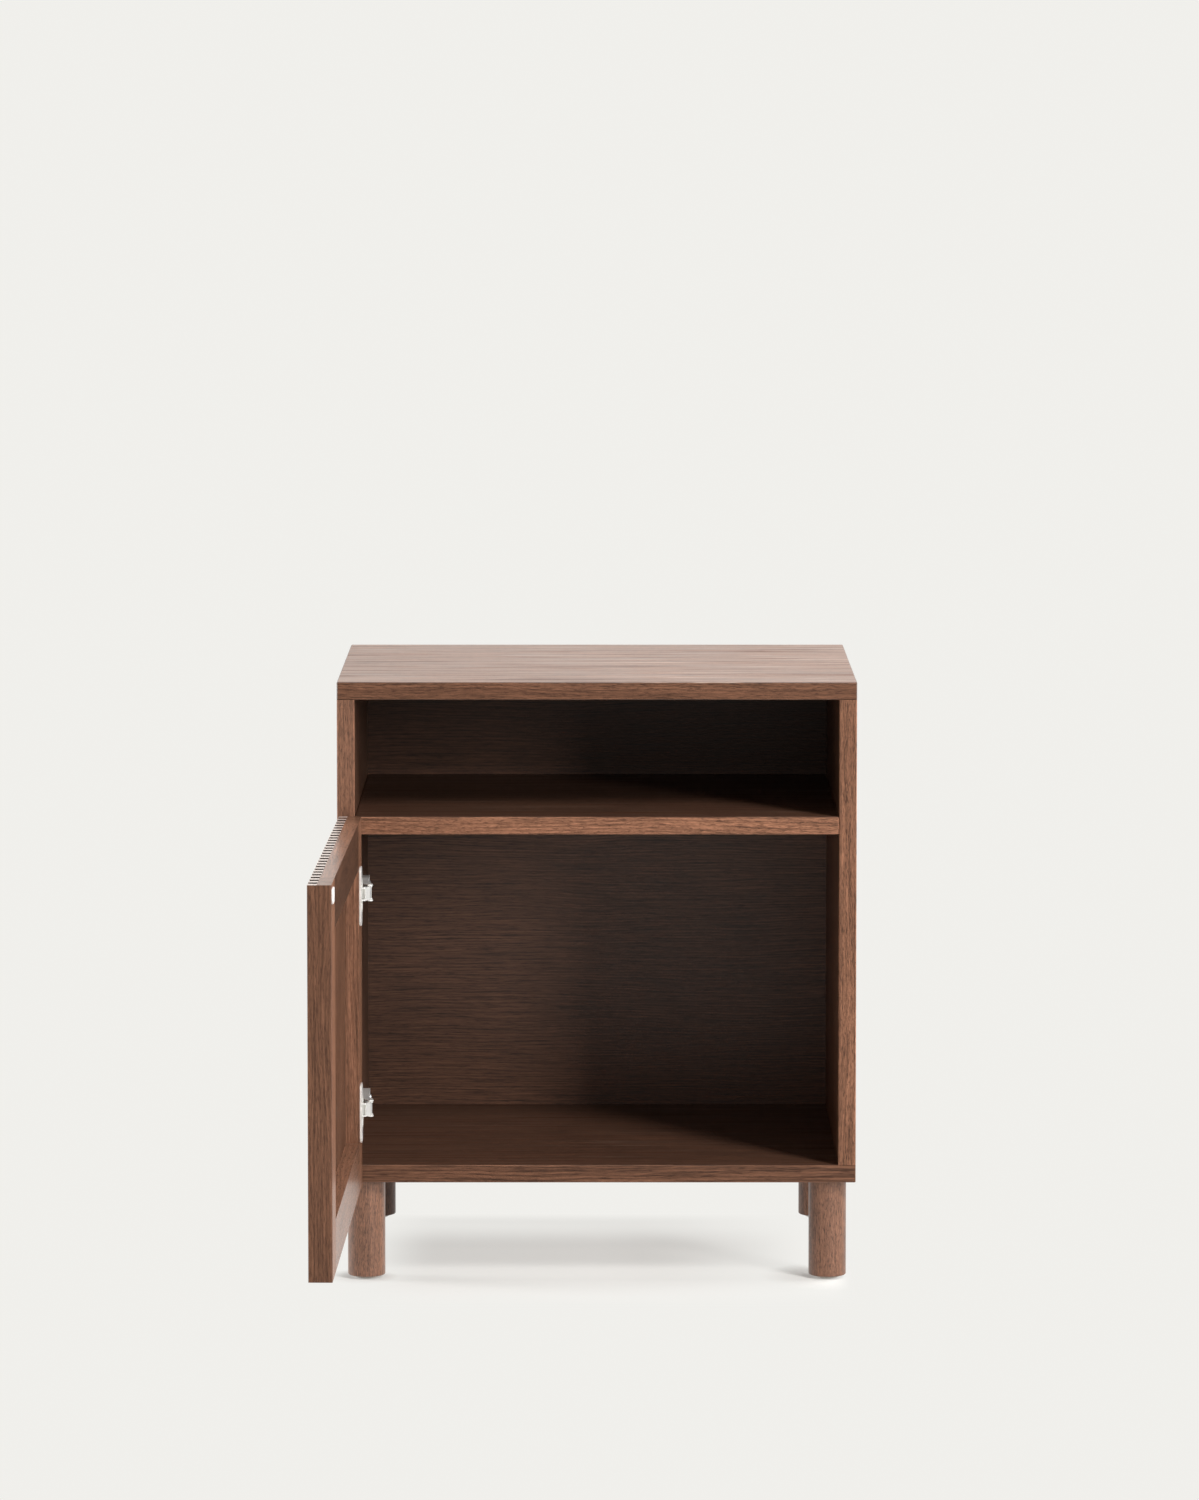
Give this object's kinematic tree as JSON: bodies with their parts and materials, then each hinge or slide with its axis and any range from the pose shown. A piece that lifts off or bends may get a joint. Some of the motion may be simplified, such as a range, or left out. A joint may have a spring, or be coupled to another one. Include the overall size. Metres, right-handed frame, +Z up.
{
  "type": "nightstand",
  "caption": "Walnut nightstand with an open niche over a compartment, a slatted door on concealed hinges and four straight round legs.",
  "frame": {"origin": "on the floor, under the middle of the cabinet without its door", "axes": "+Z up, -Y out of the front, +X to the right seen from the front; the door hangs on the -X side and is drawn open"},
  "size_m": [0.5372, 0.9253, 0.618],
  "materials": {
    "walnut_veneer": "walnut-stained open-pored veneer, matt",
    "beech": "raw",
    "nickel": "nickel-plated sheet",
    "steel": "zinc-plated",
    "felt_pad": "matt, pale",
    "white_plastic": "satin"
  },
  "bodies": {
    "carcass": {"top_board": "walnut_veneer", "bottom_board": "walnut_veneer", "side_left": "walnut_veneer", "side_right": "walnut_veneer", "shelf": "walnut_veneer", "back_panel": "walnut_veneer", "carcass_dowels": "beech", "leg_front_left": "walnut_veneer", "leg_front_right": "walnut_veneer", "leg_rear_left": "walnut_veneer", "leg_rear_right": "walnut_veneer", "leg_bolts": "steel", "glides": "felt_pad", "hinge_arm_lower": "nickel", "hinge_arm_upper": "nickel", "mounting_plate_lower": "nickel", "mounting_plate_upper": "nickel", "arm_pins": "steel", "plate_screws": "steel", "arm_screws": "steel"},
    "outer_links": {"outer_link_lower": "nickel", "outer_link_upper": "nickel"},
    "inner_links": {"inner_link_lower": "nickel", "inner_link_upper": "nickel"},
    "door": {"hinge_stile": "walnut_veneer", "free_stile": "walnut_veneer", "bottom_rail": "walnut_veneer", "top_rail": "walnut_veneer", "strike_pad": "white_plastic", "door_slat_01": "walnut_veneer", "door_slat_02": "walnut_veneer", "door_slat_03": "walnut_veneer", "door_slat_04": "walnut_veneer", "door_slat_05": "walnut_veneer", "door_slat_06": "walnut_veneer", "door_slat_07": "walnut_veneer", "door_slat_08": "walnut_veneer", "door_slat_09": "walnut_veneer", "door_slat_10": "walnut_veneer", "door_slat_11": "walnut_veneer", "door_slat_12": "walnut_veneer", "door_slat_13": "walnut_veneer", "door_slat_14": "walnut_veneer", "door_slat_15": "walnut_veneer", "door_slat_16": "walnut_veneer", "door_slat_17": "walnut_veneer", "door_slat_18": "walnut_veneer", "door_slat_19": "walnut_veneer", "door_slat_20": "walnut_veneer", "door_slat_21": "walnut_veneer", "door_slat_22": "walnut_veneer", "door_slat_23": "walnut_veneer", "door_slat_24": "walnut_veneer", "door_slat_25": "walnut_veneer", "door_slat_26": "walnut_veneer", "door_slat_27": "walnut_veneer", "hinge_cup_lower": "nickel", "hinge_cup_upper": "nickel", "cup_pins": "steel", "cup_screws": "steel"}
  },
  "joints": [
    {"name": "outer_link_turn", "type": "hinge", "parent": "carcass", "child": "outer_links", "pos_m": [-0.2315, -0.203, 0], "axis": [0, 0, -1], "range_deg": [-1.2, 31.7]},
    {"name": "inner_link_turn", "type": "hinge", "parent": "carcass", "child": "inner_links", "pos_m": [-0.241, -0.18, 0], "axis": [0, 0, -1], "range_deg": [-0.6, 13.8]},
    {"name": "door_swing", "type": "hinge", "parent": "outer_links", "child": "door", "pos_m": [-0.24546, -0.21476, 0], "axis": [0, 0, -1], "range_deg": [-122.55, 4.04]}
  ],
  "couplings": [
    {"joint": "outer_link_turn", "follows": "door_swing", "ratio": -0.25744},
    {"joint": "inner_link_turn", "follows": "door_swing", "ratio": -0.11138}
  ]
}
